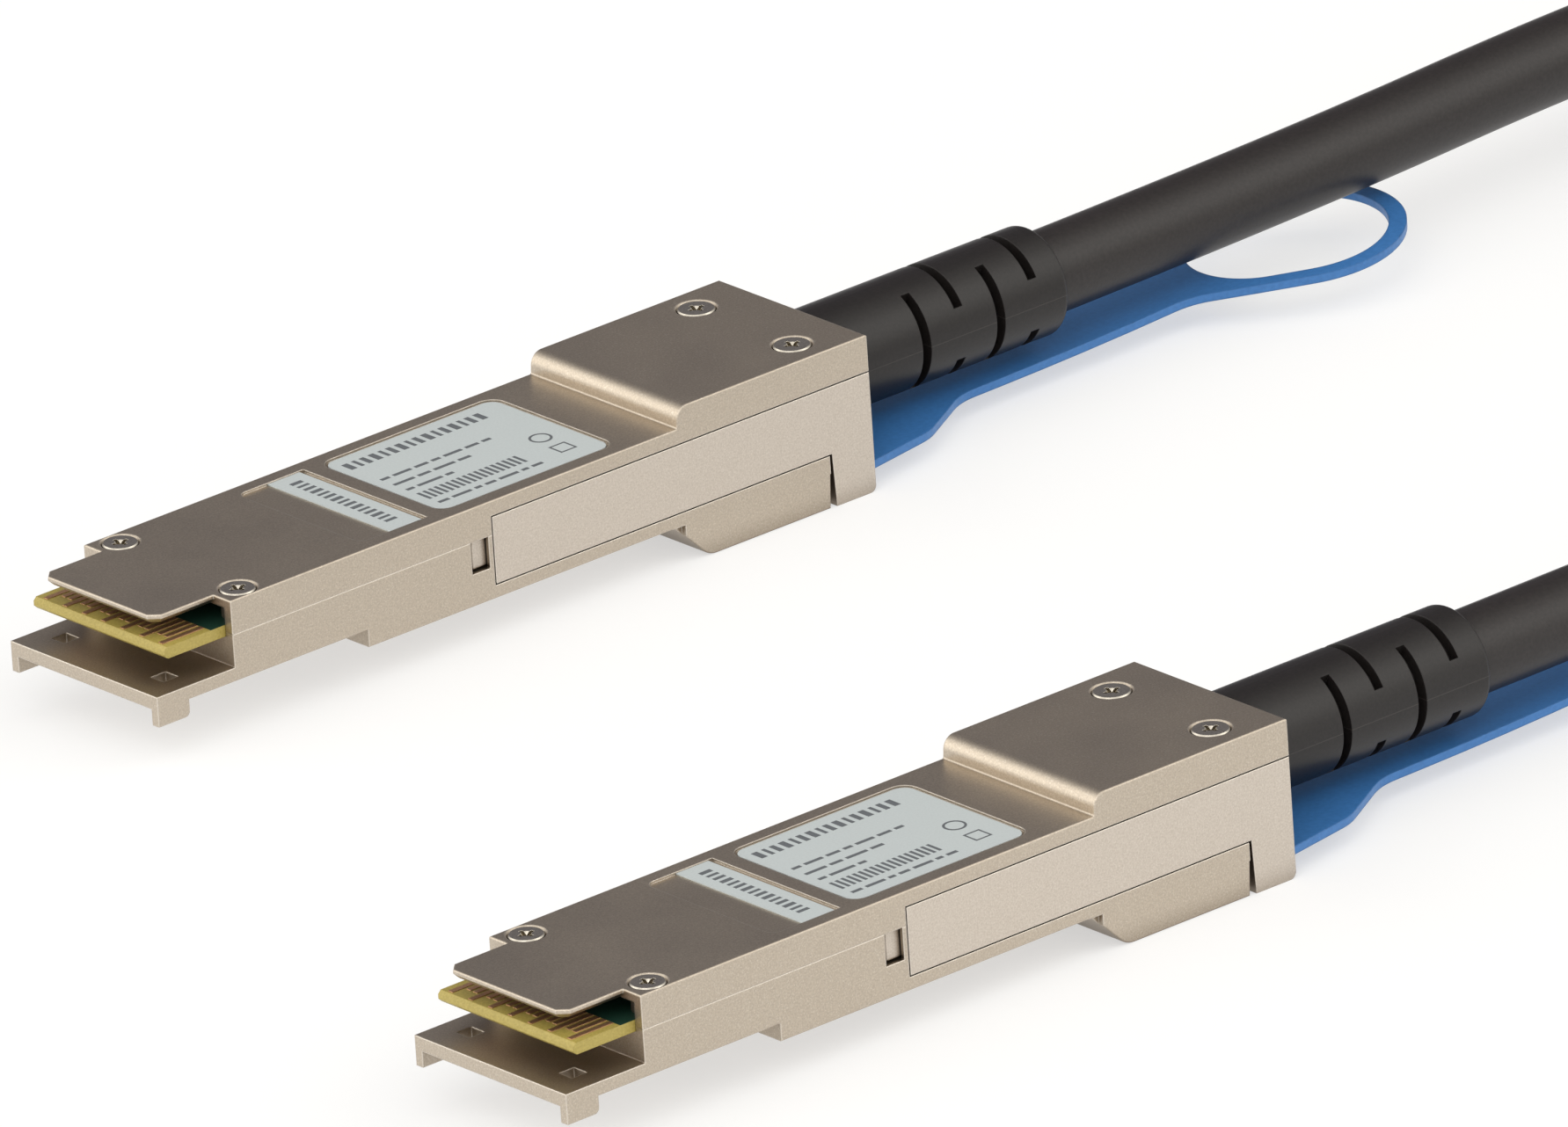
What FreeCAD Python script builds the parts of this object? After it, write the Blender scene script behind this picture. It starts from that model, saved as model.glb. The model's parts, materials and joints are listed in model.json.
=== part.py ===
"""Direct attach copper cable: two pluggable four-lane modules on one half-metre cable.

Each plug is drawn in its own frame, in millimetres: X runs from the tip of the nose back
towards the cable, Y = 0 is the middle of the plug, and Z = 0 is the underside of the body.
The assembly stands with +Z up. Its origin is at the middle of the footprint of the two
plugs, at the level of the feet that they rest on.
"""
import FreeCAD, Part
import Sketcher
import math
import os
import re

Vector = FreeCAD.Vector

os.makedirs("parts", exist_ok=True)
doc = FreeCAD.newDocument("direct_attach_cable")

# Driving sizes: name, millimetres (or degrees), meaning
SIZES = [
    ("plug_width", 18.35, "outside width of the plug"),
    ("plug_length", 76.43, "tip of the nose to the rear face"),
    ("body_height", 8.5, "underside to top of the front body"),
    ("parting_height", 5.55, "joint between the two castings"),
    ("floor_wall", 1.2, "thickness of the lower casting's floor"),
    ("roof_wall", 0.8, "thickness of the upper casting's roof"),
    ("step_length", 22.3, "length of the shallow front of the body"),
    ("step_rise", 1.5, "how far that front is cut up from below"),
    ("nose_length", 8.26, "open nose in front of the side walls"),
    ("nose_hole", 1.6, "square gauge hole in the nose plate"),
    ("nose_hole_across", 6.21, "its distance from the middle"),
    ("nose_hole_along", 3.28, "its distance from the tip"),
    ("skid_length", 3.3, "skid under each front corner"),
    ("skid_width", 0.8, "its width"),
    ("skid_height", 1.4, "its height"),
    ("skid_round", 0.5, "round at its rear lower corner"),
    ("lip_start", 1.95, "front edge of the upper nose plate"),
    ("lip_width", 14.1, "width of the upper nose plate"),
    ("lip_chamfer", 0.85, "its corner chamfer"),
    ("lip_bevel", 0.45, "bevel under its free edges, which leaves them thin"),
    ("block_length", 20.54, "raised block, front to rear"),
    ("block_slope", 0.15, "how far the block's front leans"),
    ("block_height", 10.35, "top of the raised block"),
    ("block_round", 1.2, "round at the top of that front"),
    ("block_hollow", 0.15, "hollow at the foot of that front"),
    ("edge_round", 0.15, "round along the castings' outer edges"),
    ("foot_depth", 3.4, "foot below the underside"),
    ("foot_back", 4.69, "foot's rear face, in front of the plug's"),
    ("foot_length", 13.34, "length of the foot's sole"),
    ("foot_slope", 3.26, "length of the slope in front of the sole"),
    ("foot_round", 2.0, "round at the front of the sole"),
    ("foot_hollow", 1.5, "hollow where the slope starts"),
    ("notch_length", 0.98, "notch in both sides of the foot, from the slope's start"),
    ("notch_depth", 0.55, "how far it goes in"),
    ("frame_slant", 0.2, "how far the two edges of the gap behind the foot lean apart"),
    ("tail_back", 0.53, "lower casting's rear face, in front of the slider's"),
    ("tail_under", -0.4, "underside of its tail, above the slider's bridge"),
    ("board_start", 1.9, "front edge of the circuit board"),
    ("board_width", 16.42, "width of its edge connector"),
    ("board_thickness", 1.0, "thickness of the board"),
    ("board_drop", 3.33, "its underside below the top of the body"),
    ("board_step", 31.0, "where it narrows"),
    ("board_rear_width", 13.4, "width of its rear part"),
    ("board_end", 45.5, "rear edge of the board"),
    ("board_bevel", 0.3, "lead-in bevel at its front edge"),
    ("board_gap", 0.1, "clearance around the board"),
    ("bay_width", 12.6, "inside width under the board"),
    ("bay_end", 47.0, "rear end of the front bay"),
    ("wire_bay_width", 9.6, "inside width of the wire bay"),
    ("wire_bay_roof", 9.3, "ceiling of the wire bay inside the block"),
    ("pad_pitch", 0.8, "contact pitch"),
    ("pad_width", 0.54, "contact width"),
    ("pad_thickness", 0.05, "contact thickness"),
    ("pad_length", 4.4, "long contact"),
    ("pad_short_length", 3.2, "short contact, set back from the edge"),
    ("pad_inset", 0.45, "long contact's distance from the board's edge"),
    ("post_radius", 1.45, "post that the board is clamped on"),
    ("front_screw_along", 10.57, "front screws, from the tip"),
    ("front_screw_across", 7.36, "front screws, from the middle"),
    ("front_head_radius", 1.5, "head of the front screws"),
    ("front_screw_length", 5.0, "length of the front screws"),
    ("rear_screw_back", 5.25, "rear screws, from the rear face"),
    ("rear_screw_across", 5.97, "rear screws, from the middle"),
    ("rear_head_radius", 1.6, "head of the rear screws"),
    ("rear_screw_length", 8.6, "length of the rear screws"),
    ("shank_radius", 0.7, "thread radius of all screws"),
    ("screw_gap", 0.1, "clearance around a screw"),
    ("head_bevel", 0.12, "bevel round the top of the heads and of their seats"),
    ("recess_size", 1.5, "width across the cross recess"),
    ("recess_slot", 0.34, "width of one arm of the recess"),
    ("recess_depth", 0.6, "depth of the recess"),
    ("recess_dish", 0.5, "radius of the dish around the recess"),
    ("main_label_start", 32.15, "front edge of the large label"),
    ("main_label_length", 18.2, "its length"),
    ("main_label_width", 14.95, "its width"),
    ("label_round", 1.15, "its corner radius"),
    ("label_thickness", 0.12, "thickness of both labels"),
    ("label_recess_depth", 0.22, "depth of both label recesses"),
    ("label_margin", 0.25, "bare rim of the recess around the large label"),
    ("small_label_start", 26.55, "front edge of the small label"),
    ("small_label_length", 3.4, "its length"),
    ("small_recess_start", 23.3, "front edge of the small recess"),
    ("small_recess_length", 7.05, "its length"),
    ("small_recess_width", 15.5, "its width"),
    ("small_recess_round", 0.9, "round of its front corners"),
    ("arm_start", 35.96, "front edge of the slider's arm"),
    ("arm_thickness", 0.75, "thickness of the arm"),
    ("arm_bottom", 1.26, "lower edge of the arm"),
    ("arm_top", 7.08, "upper edge of the arm"),
    ("slide_gap", 0.12, "sliding clearance of the arm"),
    ("rear_frame", 4.23, "length of the slider's rear frame"),
    ("bridge_top", -0.55, "top of the bridge under the cable"),
    ("slider_round", 0.6, "rounded rear corner of the bridge"),
    ("travel", 2.5, "how far the slider pulls back"),
    ("window_start", 33.52, "front edge of the side window"),
    ("window_length", 1.89, "its length"),
    ("window_bottom", 2.79, "its lower edge"),
    ("window_bar", 0.35, "thickness of the bar behind the window"),
    ("tongue_thickness", 0.5, "spring tongue in front of each arm"),
    ("tongue_root", 38.4, "where the tongue joins the arm"),
    ("tongue_inset", 0.3, "front edge of that joint, behind the arm's own"),
    ("tongue_margin", 0.22, "clearance above and below the tongue"),
    ("tongue_back", 0.4, "its rounded front end, behind the window's front edge"),
    ("tongue_round", 0.22, "round of that end"),
    ("spring_start", 50.1, "front end of the return spring"),
    ("spring_length", 6.9, "its length at rest"),
    ("spring_radius", 0.85, "mean radius of its coil"),
    ("spring_wire", 0.3, "thickness of its wire"),
    ("spring_turns", 6.0, "number of turns"),
    ("spring_height", 3.6, "height of its axis"),
    ("spring_gap", 0.1, "clearance around the spring"),
    ("lug_length", 0.8, "lug that pushes the spring"),
    ("cable_diameter", 7.2, "outside of the jacket"),
    ("cable_axis", 4.8, "height of the cable's axis"),
    ("cable_gap", 0.05, "clearance of the jacket in the boot"),
    ("ferrule_back", 7.93, "rear face of the crimp ferrule, where the jacket ends, from the plug's"),
    ("ferrule_length", 6.5, "length of the ferrule"),
    ("ferrule_wall", 0.8, "wall between the wire bay and the ferrule"),
    ("ferrule_radius", 4.1, "its outside radius"),
    ("ferrule_bore", 3.0, "its bore"),
    ("ferrule_rim", 0.45, "rim at each end of the ferrule"),
    ("seat_gap", 0.08, "clearance of ferrule and boot in their seats"),
    ("flange_length", 1.3, "flange that locks the boot inside the castings"),
    ("flange_radius", 4.85, "radius of that flange"),
    ("neck_radius", 4.2, "groove of the boot that the castings' rear wall fits in"),
    ("sleeve_gap", 0.1, "between the castings' rear face and the boot's sleeve"),
    ("boot_radius", 4.75, "outside radius of the boot"),
    ("boot_length", 25.57, "boot behind the plug"),
    ("boot_round", 0.5, "round at that end"),
    ("slot_back", 9.58, "front edge of the boot's first slots, behind the plug"),
    ("slot_pitch", 4.02, "distance from one pair of slots to the next"),
    ("slot_width", 0.92, "width of a slot"),
    ("slot_half_angle", 63.5, "half the angle that a slot spans"),
    ("slot_apex", 0.5, "inner corner of a slot's outline, inside the boot's bore"),
    ("pair_diameter", 1.2, "one shielded twin-conductor pair"),
    ("pair_pitch", 2.1, "distance between pairs on the board"),
    ("pair_overlap", 2.2, "length of a pair soldered on the board"),
    ("pair_gap", 0.02, "solder between a pair and the board"),
    ("pair_lead", 4.0, "straight lead of a pair behind the board"),
    ("pair_exit", 2.0, "straight lead of a pair in front of the ferrule's wall"),
    ("bundle_pitch", 1.27, "distance between pairs in the bundle"),
    ("bundle_gap", 0.05, "from the bundle's middle plane to a pair"),
    ("bundle_lift", 0.55, "how far the two inner pairs of a row stand out"),
    ("chip_start", 17.0, "front edge of the memory chip"),
    ("chip_length", 3.0, "its length"),
    ("chip_width", 3.0, "its width"),
    ("chip_across", -3.0, "its distance from the middle"),
    ("chip_stand", 0.1, "air under it"),
    ("chip_height", 0.9, "thickness of its package"),
    ("leg_length", 0.8, "reach of its legs"),
    ("leg_width", 0.35, "their width"),
    ("leg_height", 0.35, "their height"),
    ("leg_start", 0.35, "first leg, from the package's front edge"),
    ("leg_pitch", 0.65, "distance between legs"),
    ("capacitor_start", 25.0, "front edge of the coupling capacitors"),
    ("capacitor_length", 1.0, "length of one"),
    ("capacitor_width", 0.5, "its width"),
    ("capacitor_height", 0.5, "its height"),
    ("capacitor_pitch", 1.5, "distance between them"),
    ("tab_thickness", 0.7, "thickness of the pull tab"),
    ("tab_under", -1.6, "underside of the tab at the slider"),
    ("tab_grip", 2.7, "length of tab moulded into the bridge"),
    ("tab_grip_inset", 1.875, "its sides inside the bridge, from the plug's sides"),
    ("tab_root_inset", 0.325, "its sides behind the slider, from the plug's sides"),
    ("tab_root_length", 7.47, "length of its wide root"),
    ("tab_shoulder_width", 15.0, "width at the end of the root"),
    ("tab_shoulder_length", 6.7, "length of the S from root to neck"),
    ("tab_neck_width", 7.0, "width of the neck there"),
    ("tab_neck_end_width", 5.9, "width of the neck at the loop"),
    ("tab_flat", 18.57, "flat part of the tab behind the plug"),
    ("tab_bend_radius", 500.0, "radius of that curve"),
    ("tab_length", 63.27, "tab behind the plug"),
    ("loop_radius", 9.5, "outside radius of the loop"),
    ("loop_flare", 30.4, "angle at which its sides leave the neck"),
    ("loop_band", 1.5, "width of the loop's band"),
    ("hole_front_radius", 5.95, "round at the front of the loop's hole"),
    ("tab_fillet", 6.0, "fillets of the S from the root to the neck"),
    ("throat_fillet", 6.0, "fillet between neck and loop"),
    ("tab_stock", 9.4, "height of the plan form that the tab's side view trims"),
    ("plug_offset", 31.5, "how far the second plug stands back"),
    ("plug_spacing", 87.2, "distance between the two plugs"),
    ("clamp_gap", 0.02, "play of the board between the posts"),
    ("tap_depth", 0.2, "thread hole below the tip of a screw"),
    ("past", 1.0, "how far a cutting outline runs past the solid"),
    ("joined", 0.05, "overlap of two pads of one casting"),
]

sheet = doc.addObject("Spreadsheet::Sheet", "dims")
for row, (alias, value, meaning) in enumerate(SIZES, start=1):
    sheet.set(f"A{row}", alias)
    sheet.set(f"B{row}", str(value))
    sheet.set(f"C{row}", meaning)
    sheet.setAlias(f"B{row}", alias)
doc.recompute()
ALIASES = {alias for alias, value, meaning in SIZES}


def bound(expression):
    """An expression in the sheet's names, with the sheet's own name before each."""
    return re.sub(r"[a-z][a-z_]+", lambda word: "dims." + word[0] if word[0] in ALIASES else word[0], expression)


def size(expression):
    """The number that an expression gives now."""
    return float(sheet.evalExpression(bound(expression)))


def bind(item, prop, expression):
    """Ties one property of an object to the sheet."""
    item.setExpression(prop, bound(expression))


# Stations behind the plug's middle, each found from the rear face
BLOCK_START = "(plug_length - block_length)"
FOOT_END = "(plug_length - foot_back)"
FOOT_START = f"({FOOT_END} - foot_length)"
FOOT_TOE = f"({FOOT_START} - foot_slope)"
TAIL_END = "(plug_length - tail_back)"
REAR_SCREW_ALONG = "(plug_length - rear_screw_back)"
BOARD_UNDER = "(body_height - board_drop)"
SLIDER_REAR = "(plug_length - rear_frame)"
FERRULE_END = "(plug_length - ferrule_back)"
FERRULE_START = f"({FERRULE_END} - ferrule_length)"
WIRE_BAY_END = f"({FERRULE_START} - ferrule_wall)"
PAIR_FAN_FRONT = "(board_end + pair_lead)"
PAIR_FAN_REAR = f"({WIRE_BAY_END} - pair_exit)"
BOOT_END = "(plug_length + boot_length)"
SLOT_START = "(plug_length + slot_back)"
TAB_GRIP_WIDTH = "(plug_width - 2 * tab_grip_inset)"
TAB_ROOT_WIDTH = "(plug_width - 2 * tab_root_inset)"
TAB_SHOULDER = "(plug_length + tab_root_length)"
TAB_NECK_START = f"({TAB_SHOULDER} + tab_shoulder_length)"
TAB_BEND_START = "(plug_length + tab_flat)"
LOOP_END = "(plug_length + tab_length)"
LOOP_CENTRE = f"({LOOP_END} - loop_radius)"

# The two ends: where each plug's own frame stands in the assembly
ENDS = {
    "end_a": (f"0 - ({LOOP_END} - plug_offset) / 2", "plug_spacing / 2"),
    "end_b": (f"0 - ({LOOP_END} + plug_offset) / 2", "0 - plug_spacing / 2"),
}


def place(item, end):
    """Sets a piece that was drawn in the plug's frame where that plug stands."""
    along, across = ENDS[end]
    bind(item, "Placement.Base.x", along)
    bind(item, "Placement.Base.y", across)
    bind(item, "Placement.Base.z", "foot_depth")


def new_body(end, name):
    """An empty body that carries one named piece of one plug."""
    body = doc.addObject("PartDesign::Body", f"{end}_{name}")
    body.Label = f"{end}_{name}"
    place(body, end)
    return body


def sketch_on(body, role, offset="0"):
    """A sketch on one origin plane of a body, moved along the plane's normal."""
    sketch = body.newObject("Sketcher::SketchObject", body.Name + "_sketch")
    plane = next(f for f in body.Origin.OriginFeatures if f.Role == role)
    sketch.AttachmentSupport = (plane, [""])
    sketch.MapMode = "FlatFace"
    bind(sketch, "AttachmentOffset.Base.z", offset)
    return sketch


def outline(sketch, corners):
    """A closed outline. Each corner is (across, up), and a third value, where there is one,
    is the radius of the arc to the next corner, positive where the arc turns left."""
    points = [Vector(size(c[0]), size(c[1]), 0) for c in corners]
    first = sketch.GeometryCount
    count = len(corners)
    for i, corner in enumerate(corners):
        start, end = points[i], points[(i + 1) % count]
        if len(corner) == 2:
            sketch.addGeometry(Part.LineSegment(start, end), False)
            continue
        radius = size(corner[2])
        chord = end - start
        half = chord.Length / 2
        side = Vector(chord.y, -chord.x, 0).normalize()
        bulge = abs(radius) - math.sqrt(radius ** 2 - half ** 2)
        middle = (start + end) * 0.5 + side * math.copysign(bulge, radius)
        sketch.addGeometry(Part.Arc(start, middle, end), False)
    for i, corner in enumerate(corners):
        here, after = first + i, first + (i + 1) % count
        line = len(corner) == 2
        forward = line or size(corner[2]) > 0
        next_corner = corners[(i + 1) % count]
        next_forward = len(next_corner) == 2 or size(next_corner[2]) > 0
        sketch.addConstraint(Sketcher.Constraint("Coincident", here, 2 if forward else 1,
                                                 after, 1 if next_forward else 2))
        start_point = 1 if forward else 2
        for kind, expression in (("DistanceX", corner[0]), ("DistanceY", corner[1])):
            index = sketch.addConstraint(Sketcher.Constraint(kind, -1, 1, here, start_point, size(expression)))
            sketch.setExpression(f"Constraints[{index}]", bound(expression))
        if not line:
            index = sketch.addConstraint(Sketcher.Constraint("Radius", here, abs(size(corner[2]))))
            sketch.setExpression(f"Constraints[{index}]", bound(f"abs({corner[2]})"))


def box_outline(sketch, left, right, bottom, top):
    """A rectangle between four expressions."""
    outline(sketch, [(left, bottom), (right, bottom), (right, top), (left, top)])


def twin_boxes(sketch, inner, outer, bottom, top):
    """The same rectangle on both sides of the middle."""
    box_outline(sketch, inner, outer, bottom, top)
    box_outline(sketch, f"0 - ({outer})", f"0 - ({inner})", bottom, top)


def circle(sketch, across, up, radius):
    """A circle held at its centre."""
    index = sketch.addGeometry(Part.Circle(Vector(size(across), size(up), 0), Vector(0, 0, 1), size(radius)), False)
    for kind, expression in (("DistanceX", across), ("DistanceY", up)):
        mark = sketch.addConstraint(Sketcher.Constraint(kind, -1, 1, index, 3, size(expression)))
        sketch.setExpression(f"Constraints[{mark}]", bound(expression))
    mark = sketch.addConstraint(Sketcher.Constraint("Radius", index, size(radius)))
    sketch.setExpression(f"Constraints[{mark}]", bound(radius))


def pad(body, sketch, length, symmetric=False, back=False):
    """Adds the sketch's area, drawn out to a length."""
    feature = body.newObject("PartDesign::Pad", body.Name + "_pad")
    feature.Profile = sketch
    feature.SideType = "Symmetric" if symmetric else "One side"
    feature.Reversed = back
    bind(feature, "Length", length)
    doc.recompute()
    return feature


def cut(body, sketch, length, symmetric=False, back=False):
    """Takes the sketch's area away, and makes sure that it met the solid."""
    before = body.Shape.Volume
    feature = body.newObject("PartDesign::Pocket", body.Name + "_cut")
    feature.Profile = sketch
    feature.SideType = "Symmetric" if symmetric else "One side"
    feature.Reversed = back
    bind(feature, "Length", length)
    doc.recompute()
    if body.Shape.Volume > before - 1e-4:
        raise RuntimeError(f"a cut in {body.Label} missed the solid")
    return feature


def cut_along(body, start, length, areas):
    """Cuts along the plug from one station: each area is (inner, outer, bottom, top)."""
    sketch = sketch_on(body, "YZ_Plane", start)
    for area in areas:
        twin_boxes(sketch, *area)
    return cut(body, sketch, length, back=True)


def turned(body, corners, axis_height, remove=False):
    """A profile turned about the cable's axis, or about another axis along the plug."""
    sketch = sketch_on(body, "XZ_Plane")
    outline(sketch, corners)
    level = size(axis_height)
    axis = sketch.addGeometry(Part.LineSegment(Vector(0, level, 0), Vector(size("past"), level, 0)), True)
    for point in (1, 2):
        mark = sketch.addConstraint(Sketcher.Constraint("DistanceY", -1, 1, axis, point, size(axis_height)))
        sketch.setExpression(f"Constraints[{mark}]", bound(axis_height))
    for point, along in ((1, "0"), (2, "past")):
        sketch.addConstraint(Sketcher.Constraint("DistanceX", -1, 1, axis, point, size(along)))
    before = body.Shape.Volume if body.Tip else 0
    kind = "PartDesign::Groove" if remove else "PartDesign::Revolution"
    feature = body.newObject(kind, body.Name + "_turned")
    feature.Profile = sketch
    feature.ReferenceAxis = (sketch, ["Axis0"])
    feature.Angle = 360
    doc.recompute()
    if remove and body.Shape.Volume > before - 1e-4:
        raise RuntimeError(f"a groove in {body.Label} missed the solid")
    return feature


def edges_where(shape, test):
    """Names of the edges whose middle passes a test."""
    names = []
    for number, edge in enumerate(shape.Edges, start=1):
        middle = edge.valueAt((edge.FirstParameter + edge.LastParameter) / 2)
        if test(edge, middle):
            names.append(f"Edge{number}")
    return names


def upright(edge):
    """True for an edge along Z."""
    ends = [v.Point for v in edge.Vertexes]
    return len(ends) == 2 and (ends[0] - ends[1]).cross(Vector(0, 0, 1)).Length < 1e-6


def dress(body, kind, amount, test):
    """A fillet or chamfer on the edges of the body's last feature that pass a test."""
    base = body.Tip
    names = edges_where(base.Shape, test)
    if not names:
        raise RuntimeError(f"no edge to dress in {body.Label}")
    feature = body.newObject("PartDesign::" + kind, body.Name + "_" + kind.lower())
    feature.Base = (base, names)
    bind(feature, "Radius" if kind == "Fillet" else "Size", amount)
    doc.recompute()
    return feature


def near(value, expression):
    """True where a coordinate is at an expression's value."""
    return abs(value - size(expression)) < 1e-3


def cable_seat(body):
    """The stepped bore that both castings share for the ferrule, the boot's flange and its neck."""
    turned(body, [
        (f"{FERRULE_START} - seat_gap", "cable_axis"),
        (f"{FERRULE_START} - seat_gap", "cable_axis + ferrule_radius + seat_gap"),
        (FERRULE_END, "cable_axis + ferrule_radius + seat_gap"),
        (FERRULE_END, "cable_axis + flange_radius + seat_gap"),
        (f"{FERRULE_END} + flange_length + 2 * seat_gap", "cable_axis + flange_radius + seat_gap"),
        (f"{FERRULE_END} + flange_length + 2 * seat_gap", "cable_axis + neck_radius + seat_gap"),
        ("plug_length + past", "cable_axis + neck_radius + seat_gap"),
        ("plug_length + past", "cable_axis"),
    ], "cable_axis", remove=True)


def both_sides(points):
    """An outline, and the same outline on the other side of the middle."""
    return points, [(along, f"0 - ({across})") for along, across in reversed(points)]


def board_tray(body, front):
    """The outline of the room for the board, on the joint between the castings."""
    tray = sketch_on(body, "XY_Plane", "parting_height")
    half = [
        (front, "board_width / 2 + board_gap"),
        ("board_step + board_gap", "board_width / 2 + board_gap"),
        ("board_step + board_gap", "board_rear_width / 2 + board_gap"),
        ("bay_end", "board_rear_width / 2 + board_gap"),
    ]
    outline(tray, half + [(along, f"0 - ({across})") for along, across in reversed(half)])
    return tray


def screw_circles(body, level, along, across, radius):
    """Two circles of one radius, where a pair of screws stands."""
    circles = sketch_on(body, "XY_Plane", level)
    for sign in ("", "0 - "):
        circle(circles, along, sign + across, radius)
    return circles


HALF = "plug_width / 2"
ARM_INNER = "plug_width / 2 - arm_thickness"
RECESS_INNER = "plug_width / 2 - arm_thickness - slide_gap"
BAR_INNER = "plug_width / 2 - window_bar"
TONGUE_OUTER = "plug_width / 2 - window_bar - slide_gap"
CHANNEL_INNER = "plug_width / 2 - window_bar - tongue_thickness - 2 * slide_gap"
SPRING_ACROSS = "plug_width / 2 - arm_thickness - 2 * slide_gap - spring_radius - spring_wire / 2"
POCKET_INNER = f"{SPRING_ACROSS} - spring_radius - spring_wire / 2 - spring_gap"
POCKET_HALF_HEIGHT = "(spring_radius + spring_wire / 2 + spring_gap)"


def make_lower_shell(end):
    """Lower casting: nose plate, tray, foot, and the slots that the slider runs in."""
    body = new_body(end, "lower_shell")
    side = sketch_on(body, "XZ_Plane")
    outline(side, [
        ("0", "step_rise"),
        ("step_length", "step_rise"),
        ("step_length", "0"),
        (FOOT_TOE, "0"),
        (FOOT_START, "0 - foot_depth"),
        (f"{FOOT_END} - frame_slant", "0 - foot_depth"),
        (FOOT_END, "tail_under"),
        (TAIL_END, "tail_under"),
        (TAIL_END, "parting_height"),
        ("nose_length", "parting_height"),
        ("nose_length", "step_rise + floor_wall"),
        ("0", "step_rise + floor_wall"),
    ])
    pad(body, side, "plug_width", symmetric=True)
    dress(body, "Fillet", "foot_round",
          lambda e, m: near(m.x, FOOT_START) and near(m.z, "0 - foot_depth"))
    dress(body, "Fillet", "foot_hollow", lambda e, m: near(m.x, FOOT_TOE) and near(m.z, "0"))
    dress(body, "Fillet", "edge_round",
          lambda e, m: near(abs(m.y), HALF) and not upright(e)
          and (near(m.z, "step_rise") or m.z < size("joined")) and m.x < size(FOOT_END))
    skids = sketch_on(body, "YZ_Plane")
    twin_boxes(skids, f"{HALF} - skid_width", HALF, "step_rise - skid_height", "step_rise + edge_round + joined")
    pad(body, skids, "skid_length")
    dress(body, "Fillet", "skid_round",
          lambda e, m: near(m.x, "skid_length") and near(m.z, "step_rise - skid_height"))
    cut_along(body, f"{FOOT_TOE} - past", "past + notch_length",
              [(f"{HALF} - notch_depth", f"{HALF} + past", "0 - foot_depth - past", "0")])
    cut(body, board_tray(body, "nose_length - past"), f"parting_height - {BOARD_UNDER}")
    bay = sketch_on(body, "XY_Plane", BOARD_UNDER)
    box_outline(bay, "nose_length + floor_wall", "bay_end", "0 - bay_width / 2", "bay_width / 2")
    cut(body, bay, f"{BOARD_UNDER} - step_rise - floor_wall")
    deep = sketch_on(body, "XY_Plane", "parting_height")
    box_outline(deep, "step_length + floor_wall", "bay_end", "0 - bay_width / 2", "bay_width / 2")
    box_outline(deep, "bay_end + floor_wall", WIRE_BAY_END, "0 - wire_bay_width / 2", "wire_bay_width / 2")
    cut(body, deep, "parting_height - floor_wall")
    gate = sketch_on(body, "YZ_Plane", "bay_end - past")
    box_outline(gate, "0 - wire_bay_width / 2", "wire_bay_width / 2", f"{BOARD_UNDER} - 1.5 * pair_diameter",
                "parting_height + past")
    cut(body, gate, "floor_wall + 2 * past", back=True)
    throat = sketch_on(body, "YZ_Plane", f"{WIRE_BAY_END} - past")
    box_outline(throat, "0 - ferrule_bore", "ferrule_bore", "cable_axis - ferrule_bore", "parting_height + past")
    cut(body, throat, f"{FERRULE_START} - {WIRE_BAY_END} + past", back=True)
    posts = screw_circles(body, "step_rise + floor_wall", "front_screw_along", "front_screw_across", "post_radius")
    pad(body, posts, f"{BOARD_UNDER} - step_rise - floor_wall")
    cable_seat(body)
    cut_along(body, "arm_start - slide_gap", "plug_length",
              [(RECESS_INNER, f"{HALF} + past", "arm_bottom - slide_gap", "parting_height + past")])
    cut_along(body, FOOT_END, "plug_length", [(RECESS_INNER, f"{HALF} + past", "0 - past", "arm_bottom")])
    cut_along(body, "window_start", "tongue_root + travel + slide_gap - window_start",
              [(CHANNEL_INNER, BAR_INNER, "window_bottom", "parting_height + joined")])
    cut_along(body, "window_start", "window_length",
              [(CHANNEL_INNER, f"{HALF} + past", "window_bottom", "parting_height + joined")])
    cut_along(body, "spring_start - lug_length - slide_gap", "spring_length + lug_length + slide_gap",
              [(POCKET_INNER, f"{RECESS_INNER} + joined", f"spring_height - {POCKET_HALF_HEIGHT}",
                f"spring_height + {POCKET_HALF_HEIGHT}")])
    gauge = sketch_on(body, "XY_Plane", "step_rise + floor_wall")
    for across in ("nose_hole_across", "0 - nose_hole_across"):
        box_outline(gauge, "nose_hole_along - nose_hole / 2", "nose_hole_along + nose_hole / 2",
                    f"{across} - nose_hole / 2", f"{across} + nose_hole / 2")
    cut(body, gauge, "floor_wall + past")
    taps = screw_circles(body, BOARD_UNDER, "front_screw_along", "front_screw_across", "shank_radius + screw_gap")
    cut(body, taps, f"front_screw_length - (body_height - {BOARD_UNDER}) + tap_depth")
    taps = screw_circles(body, "parting_height", REAR_SCREW_ALONG, "rear_screw_across", "shank_radius + screw_gap")
    cut(body, taps, "rear_screw_length - (block_height - parting_height) + tap_depth")
    return body


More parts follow.
